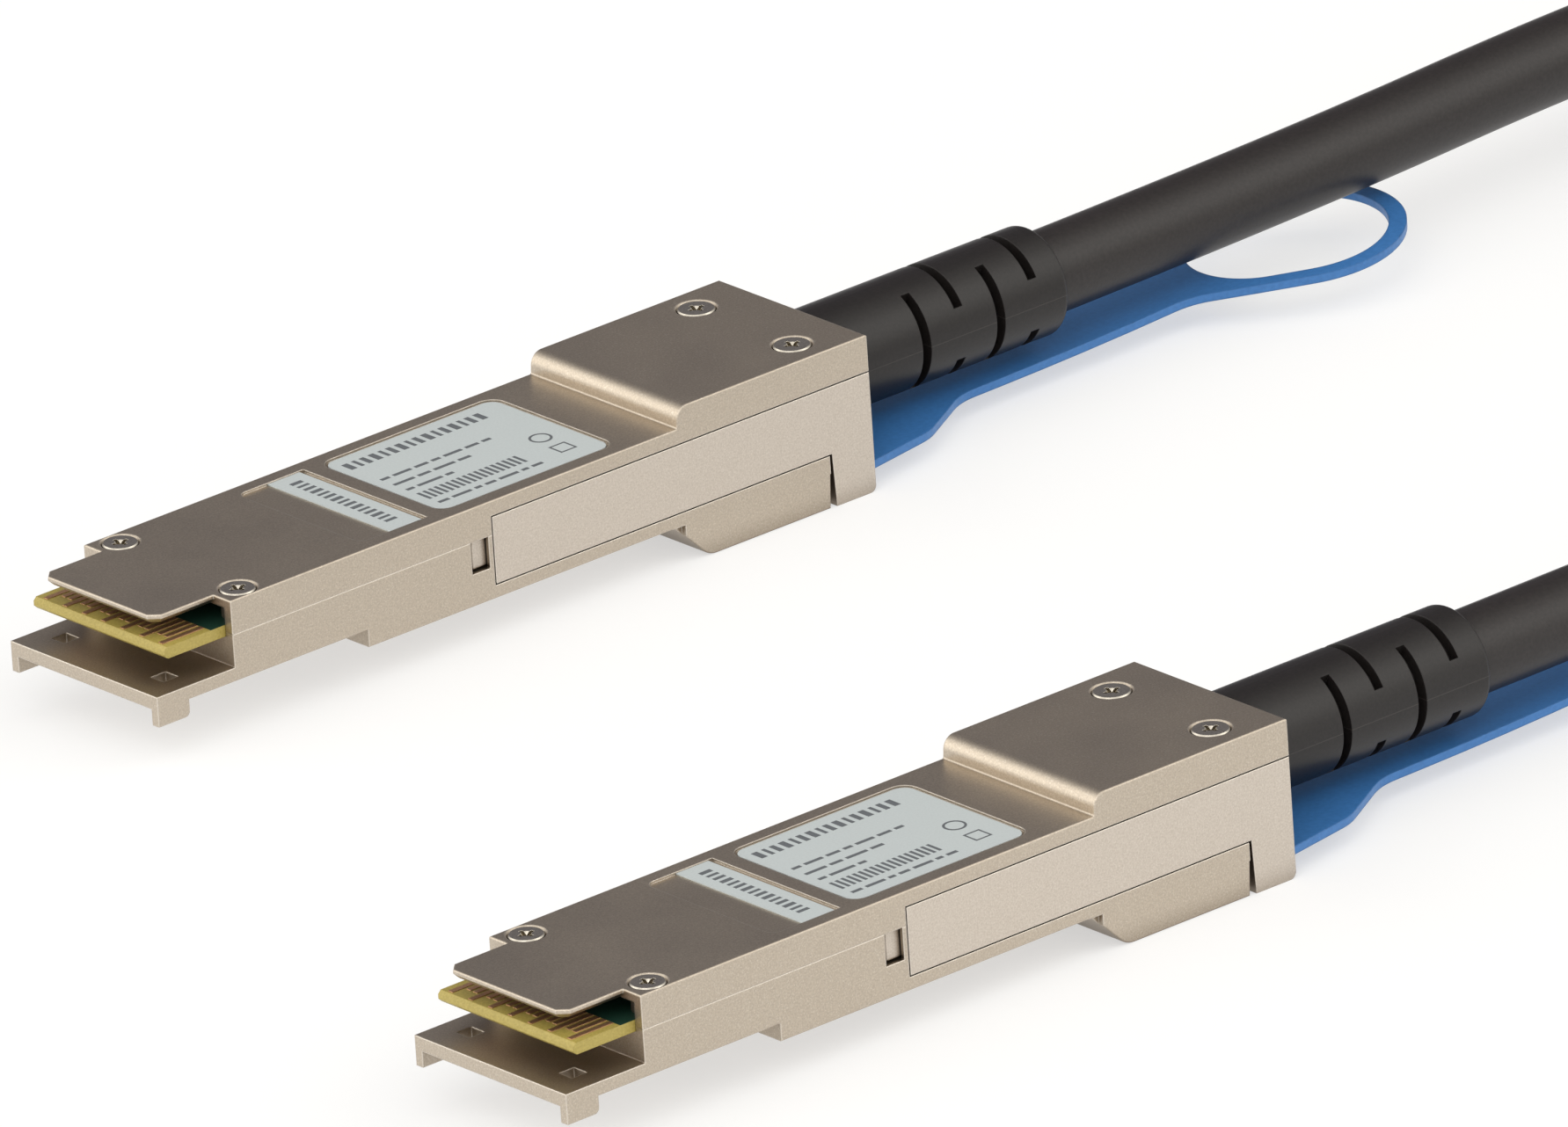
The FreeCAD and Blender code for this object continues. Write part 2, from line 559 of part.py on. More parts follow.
def make_upper_shell(end):
    """Upper casting: lip over the board, roof with two label recesses, and the raised block."""
    body = new_body(end, "upper_shell")
    side = sketch_on(body, "XZ_Plane")
    outline(side, [
        ("nose_length", "parting_height"),
        ("plug_length", "parting_height"),
        ("plug_length", "block_height"),
        (f"{BLOCK_START} + block_slope", "block_height"),
        (BLOCK_START, "body_height"),
        ("lip_start", "body_height"),
        ("lip_start", "body_height - roof_wall"),
        ("nose_length", "body_height - roof_wall"),
    ])
    pad(body, side, "plug_width", symmetric=True)
    dress(body, "Fillet", "block_round",
          lambda e, m: near(m.x, f"{BLOCK_START} + block_slope") and near(m.z, "block_height"))
    dress(body, "Fillet", "block_hollow",
          lambda e, m: near(m.x, BLOCK_START) and near(m.z, "body_height"))
    corners = sketch_on(body, "XY_Plane", "body_height")
    for points in both_sides([
            ("lip_start - past", "lip_width / 2 - lip_chamfer"),
            ("lip_start", "lip_width / 2 - lip_chamfer"),
            ("lip_start + lip_chamfer", "lip_width / 2"),
            ("nose_length", "lip_width / 2"),
            ("nose_length", f"{HALF} + past"),
            ("lip_start - past", f"{HALF} + past")]):
        outline(corners, points)
    cut(body, corners, "roof_wall + past")
    dress(body, "Chamfer", "lip_bevel",
          lambda e, m: near(m.z, "body_height - roof_wall") and m.x < size("nose_length - joined"))
    dress(body, "Fillet", "edge_round",
          lambda e, m: m.z > size("body_height - joined") and (
              abs(m.y) > size("joined") or near(m.x, "lip_start") or near(m.x, "plug_length")))
    cut(body, board_tray(body, "nose_length"), "body_height - roof_wall - parting_height", back=True)
    wires = sketch_on(body, "XY_Plane", "parting_height")
    box_outline(wires, "bay_end - past", WIRE_BAY_END, "0 - wire_bay_width / 2", "wire_bay_width / 2")
    cut(body, wires, "body_height - roof_wall - parting_height", back=True)
    high = sketch_on(body, "XY_Plane", "parting_height")
    box_outline(high, f"{BLOCK_START} + block_slope + block_round", WIRE_BAY_END, "0 - wire_bay_width / 2",
                "wire_bay_width / 2")
    cut(body, high, "wire_bay_roof - parting_height", back=True)
    throat = sketch_on(body, "YZ_Plane", f"{WIRE_BAY_END} - past")
    box_outline(throat, "0 - ferrule_bore", "ferrule_bore", "parting_height - past", "cable_axis + ferrule_bore")
    cut(body, throat, f"{FERRULE_START} - {WIRE_BAY_END} + past", back=True)
    posts = screw_circles(body, f"{BOARD_UNDER} + board_thickness + clamp_gap", "front_screw_along",
                          "front_screw_across", "post_radius")
    pad(body, posts, f"body_height - roof_wall - {BOARD_UNDER} - board_thickness - clamp_gap + joined")
    cable_seat(body)
    cut_along(body, "arm_start - slide_gap", "plug_length",
              [(RECESS_INNER, f"{HALF} + past", "parting_height - past", "arm_top + slide_gap")])
    for along, across, head, top in (
            ("front_screw_along", "front_screw_across", "front_head_radius", "body_height"),
            (REAR_SCREW_ALONG, "rear_screw_across", "rear_head_radius", "block_height")):
        cut(body, screw_circles(body, top, along, across, "shank_radius + screw_gap"), "body_height")
        sink = cut(body, screw_circles(body, top, along, across, f"{head} + screw_gap + head_bevel"),
                   f"{head} - shank_radius + head_bevel")
        sink.TaperAngle = -45
        doc.recompute()
    recess = sketch_on(body, "XY_Plane", "body_height")
    recess_corner = ("main_label_start - label_margin", "main_label_start + main_label_length + label_margin")
    box_outline(recess, *recess_corner, "0 - main_label_width / 2 - label_margin",
                "main_label_width / 2 + label_margin")
    box_outline(recess, "small_recess_start", "small_recess_start + small_recess_length",
                "0 - small_recess_width / 2", "small_recess_width / 2")
    cut(body, recess, "label_recess_depth")
    dress(body, "Fillet", "label_round + label_margin",
          lambda e, m: upright(e) and any(near(m.x, at) for at in recess_corner)
          and near(abs(m.y), "main_label_width / 2 + label_margin"))
    dress(body, "Fillet", "small_recess_round", lambda e, m: upright(e) and near(m.x, "small_recess_start"))
    return body


def make_slider(end):
    """Release slider: two flush arms with spring tongues, joined by the bridge under the cable."""
    body = new_body(end, "release_slider")
    side = sketch_on(body, "XZ_Plane")
    outline(side, [
        ("arm_start", "arm_bottom"),
        (f"{SLIDER_REAR} - frame_slant", "arm_bottom"),
        (SLIDER_REAR, "0 - foot_depth"),
        ("plug_length", "0 - foot_depth"),
        ("plug_length", "arm_top"),
        ("arm_start", "arm_top"),
    ])
    pad(body, side, "plug_width", symmetric=True)
    inside = sketch_on(body, "YZ_Plane", "arm_start - past")
    box_outline(inside, f"0 - ({ARM_INNER})", ARM_INNER, "bridge_top", "arm_top + past")
    cut(body, inside, "plug_length", back=True)
    dress(body, "Fillet", "slider_round",
          lambda e, m: near(m.x, "plug_length") and near(m.z, "0 - foot_depth"))
    tongue = sketch_on(body, "XY_Plane", "window_bottom + tongue_margin")
    inner = f"{TONGUE_OUTER} - tongue_thickness"
    for points in both_sides([
            ("tongue_root", f"{ARM_INNER} + joined"),
            ("arm_start + tongue_inset", f"{ARM_INNER} + joined"),
            ("arm_start + tongue_inset", TONGUE_OUTER),
            ("window_start + tongue_back", TONGUE_OUTER),
            ("window_start + tongue_back", inner),
            ("tongue_root", inner)]):
        outline(tongue, points)
    pad(body, tongue, "parting_height - window_bottom - 2 * tongue_margin")
    dress(body, "Fillet", "tongue_round", lambda e, m: upright(e) and near(m.x, "window_start + tongue_back"))
    lugs = sketch_on(body, "YZ_Plane", "spring_start - lug_length")
    twin_boxes(lugs, f"{POCKET_INNER} + slide_gap", f"{ARM_INNER} + joined",
               f"spring_height - {POCKET_HALF_HEIGHT} + slide_gap", f"spring_height + {POCKET_HALF_HEIGHT} - slide_gap")
    pad(body, lugs, "lug_length")
    slot = sketch_on(body, "YZ_Plane", "plug_length - tab_grip")
    box_outline(slot, f"0 - {TAB_GRIP_WIDTH} / 2", f"{TAB_GRIP_WIDTH} / 2", "tab_under", "tab_under + tab_thickness")
    cut(body, slot, "tab_grip + past", back=True)
    return body


def make_pull_tab(end):
    """Pull tab: a strap moulded into the bridge, a neck under the cable, and a finger loop."""
    body = new_body(end, "pull_tab")
    sine, cosine = "sin(loop_flare * 1 deg)", "cos(loop_flare * 1 deg)"
    throat = (f"{LOOP_CENTRE} - loop_radius * {sine}"
              f" - (loop_radius * {cosine} - tab_neck_end_width / 2) * {cosine} / {sine}")
    plan = sketch_on(body, "XY_Plane", "tab_under - past")
    half_plan = [
        ("plug_length - tab_grip", f"{TAB_GRIP_WIDTH} / 2"),
        ("plug_length", f"{TAB_GRIP_WIDTH} / 2"),
        ("plug_length", f"{TAB_ROOT_WIDTH} / 2"),
        (TAB_SHOULDER, "tab_shoulder_width / 2"),
        (TAB_NECK_START, "tab_neck_width / 2"),
        (throat, "tab_neck_end_width / 2"),
    ]
    touch = (f"{LOOP_CENTRE} - loop_radius * {sine}", f"loop_radius * {cosine}")
    outline(plan, [(x, f"0 - ({y})") for x, y in half_plan]
            + [(touch[0], f"0 - {touch[1]}", "loop_radius"), (LOOP_END, "0", "loop_radius"), touch]
            + list(reversed(half_plan)))
    pad(body, plan, "tab_stock")
    dress(body, "Fillet", "tab_fillet",
          lambda e, m: upright(e) and (near(m.x, TAB_SHOULDER) or near(m.x, TAB_NECK_START)))
    dress(body, "Fillet", "throat_fillet", lambda e, m: upright(e) and near(m.x, throat))
    hole = sketch_on(body, "XY_Plane", "tab_under - past")
    hole_radius = "(loop_radius - loop_band)"
    front_centre = f"({LOOP_CENTRE} - ({hole_radius} - hole_front_radius) / {sine})"
    rear_touch = (f"{LOOP_CENTRE} - {hole_radius} * {sine}", f"{hole_radius} * {cosine}")
    front_touch = (f"{front_centre} - hole_front_radius * {sine}", f"hole_front_radius * {cosine}")
    outline(hole, [
        (front_touch[0], f"0 - {front_touch[1]}"),
        (rear_touch[0], f"0 - {rear_touch[1]}", hole_radius),
        (f"{LOOP_CENTRE} + {hole_radius}", "0", hole_radius),
        rear_touch,
        (*front_touch, "hole_front_radius"),
    ])
    cut(body, hole, "tab_stock", back=True)
    front, rear = "plug_length - tab_grip - past", f"{LOOP_END} + past"
    run = f"({rear} - {TAB_BEND_START})"
    lower_rise = f"(tab_bend_radius - sqrt(tab_bend_radius ^ 2 - {run} ^ 2))"
    inner_radius = "(tab_bend_radius - tab_thickness)"
    upper_rise = f"({inner_radius} - sqrt({inner_radius} ^ 2 - {run} ^ 2))"
    trim = sketch_on(body, "XZ_Plane")
    outline(trim, [
        (front, "tab_under"),
        (front, "tab_under - 2 * past"),
        (rear, "tab_under - 2 * past"),
        (rear, f"tab_under + {lower_rise}", "0 - tab_bend_radius"),
        (TAB_BEND_START, "tab_under"),
    ])
    outline(trim, [
        (front, "tab_under + tab_thickness"),
        (TAB_BEND_START, "tab_under + tab_thickness", inner_radius),
        (rear, f"tab_under + tab_thickness + {upper_rise}"),
        (rear, "tab_under + tab_stock"),
        (front, "tab_under + tab_stock"),
    ])
    cut(body, trim, "2 * loop_radius + plug_width", symmetric=True)
    return body


def make_board(end):
    """Circuit board with its edge connector in front and two holes for the front screws."""
    body = new_body(end, "circuit_board")
    plan = sketch_on(body, "XY_Plane", BOARD_UNDER)
    outline(plan, [
        ("board_start", "0 - board_width / 2"),
        ("board_step", "0 - board_width / 2"),
        ("board_step", "0 - board_rear_width / 2"),
        ("board_end", "0 - board_rear_width / 2"),
        ("board_end", "board_rear_width / 2"),
        ("board_step", "board_rear_width / 2"),
        ("board_step", "board_width / 2"),
        ("board_start", "board_width / 2"),
    ])
    pad(body, plan, "board_thickness")
    dress(body, "Chamfer", "board_bevel", lambda e, m: near(m.x, "board_start") and not upright(e))
    holes = sketch_on(body, "XY_Plane", f"{BOARD_UNDER} + board_thickness")
    for across in ("front_screw_across", "0 - front_screw_across"):
        circle(holes, "front_screw_along", across, "shank_radius + screw_gap")
    cut(body, holes, "board_thickness + past")
    return body


def make_label(end, name, start, length, width, round_corners):
    """A thin label lying in its recess."""
    body = new_body(end, name)
    plan = sketch_on(body, "XY_Plane", "body_height - label_recess_depth")
    box_outline(plan, start, f"{start} + {length}", f"0 - {width} / 2", f"{width} / 2")
    pad(body, plan, "label_thickness")
    if round_corners:
        dress(body, "Fillet", "label_round", lambda e, m: upright(e))
    return body


def make_ferrule(end):
    """Crimp ferrule that holds the cable's shields, with a rim at each end."""
    body = new_body(end, "cable_ferrule")
    turned(body, [
        (FERRULE_START, "cable_axis + ferrule_bore"),
        (FERRULE_END, "cable_axis + ferrule_bore"),
        (FERRULE_END, "cable_axis + ferrule_radius"),
        (f"{FERRULE_END} - ferrule_rim", "cable_axis + ferrule_radius"),
        (f"{FERRULE_END} - ferrule_rim", "cable_axis + ferrule_radius - ferrule_rim"),
        (f"{FERRULE_START} + ferrule_rim", "cable_axis + ferrule_radius - ferrule_rim"),
        (f"{FERRULE_START} + ferrule_rim", "cable_axis + ferrule_radius"),
        (FERRULE_START, "cable_axis + ferrule_radius"),
    ], "cable_axis")
    return body


def slot_wedge(quarter_turns):
    """The outline of one slot seen along the cable, turned from the plug's +Y side."""
    reach = "(boot_radius * 1.6)"
    far_edge = f"{reach} * sin(slot_half_angle * 1 deg)"
    near_edge = f"{reach} * cos(slot_half_angle * 1 deg)"
    corners = [("slot_apex", "0"), (near_edge, f"0 - {far_edge}"), (reach, f"0 - {far_edge}"),
               (reach, far_edge), (near_edge, far_edge)]
    for turn in range(quarter_turns):
        corners = [(f"0 - ({up})", across) for across, up in corners]
    return [(across, f"cable_axis + ({up})") for across, up in corners]


def make_boot(end):
    """Moulded strain relief: a locking flange, a neck, a sleeve, and slots that let it bend."""
    body = new_body(end, "strain_relief_boot")
    bore = "cable_axis + cable_diameter / 2 + cable_gap"
    front = f"{FERRULE_END} + seat_gap"
    turned(body, [
        (front, bore),
        (BOOT_END, bore),
        (BOOT_END, "cable_axis + boot_radius - boot_round", "boot_round * 1.001"),
        (f"{BOOT_END} - boot_round", "cable_axis + boot_radius"),
        ("plug_length + sleeve_gap", "cable_axis + boot_radius"),
        ("plug_length + sleeve_gap", "cable_axis + neck_radius"),
        (f"{front} + flange_length", "cable_axis + neck_radius"),
        (f"{front} + flange_length", "cable_axis + flange_radius"),
        (front, "cable_axis + flange_radius"),
    ], "cable_axis")
    for station in (0, 1):
        slots = sketch_on(body, "YZ_Plane", f"{SLOT_START} + {station} * slot_pitch")
        for opposite in (0, 2):
            outline(slots, slot_wedge(station + opposite))
        pocket = cut(body, slots, "slot_width", back=True)
        pattern = body.newObject("PartDesign::LinearPattern", body.Name + "_slots")
        pattern.Originals = [pocket]
        pattern.Direction = (next(f for f in body.Origin.OriginFeatures if f.Role == "X_Axis"), [""])
        bind(pattern, "Length", "2 * slot_pitch")
        pattern.Occurrences = 2
        body.Tip = pattern
        doc.recompute()
    return body


def grouped(end, name, solids):
    """A piece made of like solids that are worked out in code, as one named group."""
    feature = doc.addObject("Part::Feature", f"{end}_{name}")
    feature.Label = f"{end}_{name}"
    feature.Shape = Part.Compound(solids)
    place(feature, end)
    return feature


def block(low, high):
    """A box between two corners given as expressions."""
    corner = Vector(*[size(e) for e in low])
    far = Vector(*[size(e) for e in high])
    return Part.makeBox(far.x - corner.x, far.y - corner.y, far.z - corner.z, corner)


def make_contacts(end):
    """Nineteen contacts on each face; the outer and every third ground contact is longer."""
    solids = []
    board_top = f"{BOARD_UNDER} + board_thickness"
    faces = [(board_top, f"{board_top} + pad_thickness"), (f"{BOARD_UNDER} - pad_thickness", BOARD_UNDER)]
    count = 19
    for bottom, top in faces:
        for number in range(count):
            middle = f"({number} - {(count - 1) / 2}) * pad_pitch"
            inset = "pad_inset" if number % 3 == 0 else "pad_inset + (pad_length - pad_short_length)"
            solids.append(block(
                (f"board_start + {inset}", f"{middle} - pad_width / 2", bottom),
                (f"board_start + pad_inset + pad_length", f"{middle} + pad_width / 2", top)))
    return grouped(end, "contact_pads", solids)


def make_chip(end):
    """Memory chip that identifies the cable: a moulded package on eight short legs."""
    top = f"{BOARD_UNDER} + board_thickness"
    low_side, high_side = "chip_across - chip_width / 2", "chip_across + chip_width / 2"
    package = block(("chip_start", low_side, f"{top} + chip_stand"),
                    ("chip_start + chip_length", high_side, f"{top} + chip_stand + chip_height"))
    legs = []
    for number in range(4):
        start = f"chip_start + leg_start + {number} * leg_pitch"
        for low, high in ((f"{low_side} - leg_length", low_side), (high_side, f"{high_side} + leg_length")):
            legs.append(block((start, low, top), (f"{start} + leg_width", high, f"{top} + leg_height")))
    return grouped(end, "memory_chip", [package.fuse(legs).removeSplitter()])


def make_capacitors(end):
    """Eight coupling capacitors in a row across the board."""
    top = f"{BOARD_UNDER} + board_thickness"
    solids = []
    for number in range(8):
        middle = f"({number} - 3.5) * capacitor_pitch"
        solids.append(block(
            ("capacitor_start", f"{middle} - capacitor_width / 2", top),
            ("capacitor_start + capacitor_length", f"{middle} + capacitor_width / 2", f"{top} + capacitor_height")))
    return grouped(end, "coupling_capacitors", solids)


def rounded_route(points, share=0.45):
    """A wire of straight runs joined by tangent arcs, and the radius of each arc.

    Each arc touches its two runs at a share of the shorter one from the corner."""
    edges, radii = [], []
    start = points[0]
    for before, corner, after in zip(points, points[1:], points[2:]):
        back = (before - corner).normalize()
        ahead = (after - corner).normalize()
        half_turn = (math.pi - back.getAngle(ahead)) / 2
        reach = share * min((before - corner).Length, (after - corner).Length)
        radius = reach / math.tan(half_turn)
        radii.append(radius)
        into, out = corner + back * reach, corner + ahead * reach
        inward = (back + ahead).normalize()
        middle = corner + inward * (radius / math.cos(half_turn) - radius)
        edges.append(Part.LineSegment(start, into).toShape())
        edges.append(Part.Arc(into, middle, out).toShape())
        start = out
    edges.append(Part.LineSegment(start, points[-1]).toShape())
    return Part.Wire(edges), radii


def tube_along(wire, radius):
    """A round solid along a wire."""
    start = wire.Edges[0]
    section = Part.Wire(Part.makeCircle(radius, start.valueAt(start.FirstParameter),
                                        start.tangentAt(start.FirstParameter)))
    return wire.makePipeShell([section], True, True)


def make_pairs(end):
    """Eight shielded pairs from the jacket's end, through the ferrule, to both faces of the board."""
    solids = []
    for side, face in ((1, f"{BOARD_UNDER} + board_thickness"), (-1, BOARD_UNDER)):
        on_board = size(face) + side * size("pair_diameter / 2 + pair_gap")
        for number in range(4):
            step = number - 1.5
            lift = size("bundle_lift") if number in (1, 2) else 0
            in_bundle = size("cable_axis") + side * (size("pair_diameter / 2 + bundle_gap") + lift)
            wire, radii = rounded_route([
                Vector(size(FERRULE_END), step * size("bundle_pitch"), in_bundle),
                Vector(size(PAIR_FAN_REAR), step * size("bundle_pitch"), in_bundle),
                Vector(size(PAIR_FAN_FRONT), step * size("pair_pitch"), on_board),
                Vector(size("board_end - pair_overlap"), step * size("pair_pitch"), on_board),
            ])
            solids.append(tube_along(wire, size("pair_diameter / 2")))
    return grouped(end, "twinax_pairs", solids)


def make_springs(end):
    """Two return springs, one in the pocket beside each arm."""
    solids = []
    turns, length = size("spring_turns"), size("spring_length - spring_wire")
    radius, wire = size("spring_radius"), size("spring_wire")
    for side in (1, -1):
        helix = Part.makeHelix(length / turns, length, radius)
        corner = Vector(radius - wire / 2, 0, -wire / 2)
        section = Part.makePolygon([corner, corner + Vector(wire, 0, 0), corner + Vector(wire, 0, wire),
                                    corner + Vector(0, 0, wire), corner])
        coil = Part.Wire(helix.Edges).makePipeShell([section], True, True)
        coil.rotate(Vector(), Vector(0, 1, 0), 90)
        coil.translate(Vector(size("spring_start + spring_wire / 2"), side * size(SPRING_ACROSS),
                              size("spring_height")))
        solids.append(coil)
    return grouped(end, "return_springs", solids)


def make_screws(end, name, along, across, top, head, length):
    """Two countersunk screws with cross recesses."""
    solids = []
    taper, bevel = size(f"{head} - shank_radius"), size("head_bevel")
    for side in (1, -1):
        centre = Vector(size(along), side * size(across), size(top))
        cone = Part.makeCone(size("shank_radius"), size(head), taper, centre - Vector(0, 0, taper + bevel))
        rim = Part.makeCone(size(head), size(head) - bevel, bevel, centre - Vector(0, 0, bevel))
        shank = Part.makeCylinder(size("shank_radius"), size(length) - bevel, centre - Vector(0, 0, size(length)))
        dish = Part.makeCone(0, size("recess_dish"), size("recess_dish"), centre - Vector(0, 0, size("recess_dish")))
        screw = cone.fuse([rim, shank]).cut(dish)
        across_arm, slot = size("recess_size") / 2, size("recess_slot") / 2
        for dx, dy in ((across_arm, slot), (slot, across_arm)):
            arm = Part.makeBox(2 * dx, 2 * dy, size("recess_depth"),
                               centre - Vector(dx, dy, size("recess_depth")))
            screw = screw.cut(arm)
        solids.append(screw.removeSplitter())
    return grouped(end, name, solids)


def make_plug(end):
    """All the pieces of one end."""
    return [
        make_lower_shell(end),
        make_upper_shell(end),
        make_slider(end),
        make_pull_tab(end),
        make_board(end),
        make_label(end, "main_label", "main_label_start", "main_label_length", "main_label_width", True),
        make_label(end, "small_label", "small_label_start", "small_label_length", "small_recess_width", False),
        make_ferrule(end),
        make_boot(end),
        make_contacts(end),
        make_chip(end),
        make_capacitors(end),
        make_pairs(end),
        make_springs(end),
        make_screws(end, "front_screws", "front_screw_along", "front_screw_across", "body_height",
                    "front_head_radius", "front_screw_length"),
        make_screws(end, "rear_screws", REAR_SCREW_ALONG, "rear_screw_across", "block_height",
                    "rear_head_radius", "rear_screw_length"),
    ]


# Where the cable lies between the two plugs, in the assembly's frame
CABLE_ROUTE = [
    (119.1, 44.9, 10.1),
    (152.5, 47.0, 6.4),
    (186.0, 50.6, 3.6),
    (218.5, 33.3, 3.6),
    (232.0, 0.0, 3.6),
    (218.5, -33.3, 3.6),
    (186.0, -50.6, 3.6),
    (155.5, -49.0, 3.6),
    (121.0, -46.8, 6.2),
    (87.6, -44.9, 10.1),
]
STRAIGHT_EXIT = (121.0, 121.0)


def make_cable():
    """The jacketed cable, from one ferrule to the other."""
    ends = []
    for (along, across), exit_at in zip(ENDS.values(), STRAIGHT_EXIT):
        level = size("foot_depth + cable_axis")
        ends.append([Vector(size(along) + size(FERRULE_END), size(across), level),
                     Vector(size(along) + exit_at, size(across), level)])
    route = ends[0] + [Vector(*p) for p in CABLE_ROUTE] + list(reversed(ends[1]))
    wire, radii = rounded_route(route)
    cable = doc.addObject("Part::Feature", "cable")
    cable.Label = "cable"
    cable.Shape = tube_along(wire, size("cable_diameter / 2"))
    section = math.pi * size("cable_diameter / 2") ** 2
    print("cable length", round(wire.Length, 2), "mm, radii", [round(r, 1) for r in radii])
    print("cable volume over section times length", round(cable.Shape.Volume / (section * wire.Length), 5))
    return cable


pieces = [piece for end in ENDS for piece in make_plug(end)]
pieces.append(make_cable())
doc.recompute()

for item in doc.Objects:
    if any(mark in item.State for mark in ("Invalid", "Error")):
        raise RuntimeError(f"{item.Label} did not build: {item.State}")
for piece in pieces:
    shape = piece.Shape
    if shape.isNull() or not shape.isValid() or not shape.Solids:
        raise RuntimeError(f"{piece.Label} has no valid solid")
for piece in pieces:
    piece.Shape.exportStep(f"parts/{piece.Label}.step")
print(len(pieces), "pieces")
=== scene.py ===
"""Looks of a direct attach copper cable: two die-cast pluggable modules on one half-metre cable.

Everything is in metres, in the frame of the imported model: X runs from the noses of the plugs back
towards the cable's turn, and Z is up from the surface that the plugs rest on.
"""

import json
import math

import bpy
import numpy as np
from mathutils import Matrix, Vector


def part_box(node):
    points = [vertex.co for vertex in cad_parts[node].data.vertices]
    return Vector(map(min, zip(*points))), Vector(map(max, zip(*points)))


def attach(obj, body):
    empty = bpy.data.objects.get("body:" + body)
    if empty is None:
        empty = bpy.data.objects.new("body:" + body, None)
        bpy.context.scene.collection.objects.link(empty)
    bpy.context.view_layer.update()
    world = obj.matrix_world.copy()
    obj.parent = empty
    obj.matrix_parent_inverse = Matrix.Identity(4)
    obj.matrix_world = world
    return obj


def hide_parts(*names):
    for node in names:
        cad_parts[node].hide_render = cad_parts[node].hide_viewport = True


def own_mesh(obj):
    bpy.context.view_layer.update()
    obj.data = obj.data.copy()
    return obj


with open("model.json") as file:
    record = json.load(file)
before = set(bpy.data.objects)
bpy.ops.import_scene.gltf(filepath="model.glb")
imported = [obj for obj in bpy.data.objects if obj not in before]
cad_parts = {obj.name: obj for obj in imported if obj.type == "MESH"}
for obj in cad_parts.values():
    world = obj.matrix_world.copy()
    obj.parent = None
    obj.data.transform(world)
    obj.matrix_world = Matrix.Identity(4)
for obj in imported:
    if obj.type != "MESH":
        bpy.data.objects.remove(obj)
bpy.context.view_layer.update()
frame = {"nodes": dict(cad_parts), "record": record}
NODES = frame["nodes"]
MM = 0.001
ENDS = ("end_a", "end_b")
bpy.context.scene.view_settings.view_transform = "Standard"


# Helpers for materials

def linear(code):
    """An sRGB hex colour as linear RGBA."""
    parts = [int(code[i:i + 2], 16) / 255 for i in (1, 3, 5)]
    return tuple(c / 12.92 if c <= 0.04045 else ((c + 0.055) / 1.055) ** 2.4 for c in parts) + (1.0,)


def add(tree, kind, links=None, **settings):
    """Adds one node. Settings are its own properties; links gives each input a value or another output."""
    made = tree.nodes.new("ShaderNode" + kind)
    for name, value in settings.items():
        setattr(made, name, value)
    for socket, value in (links or {}).items():
        if isinstance(value, bpy.types.NodeSocket):
            tree.links.new(value, made.inputs[socket])
        else:
            made.inputs[socket].default_value = value
    return made


def new_material(name):
    """An empty material with its shader and output: returns the material, its tree and the shader."""
    material = bpy.data.materials.new(name)
    material.use_nodes = True
    tree = material.node_tree
    tree.nodes.clear()
    shader = add(tree, "BsdfPrincipled")
    add(tree, "OutputMaterial", {"Surface": shader.outputs["BSDF"]})
    return material, tree, shader


def set_stops(ramp, places, codes):
    """Gives a colour ramp its two stops."""
    for stop, place, code in zip(ramp.color_ramp.elements, places, codes):
        stop.position, stop.color = place, linear(code)


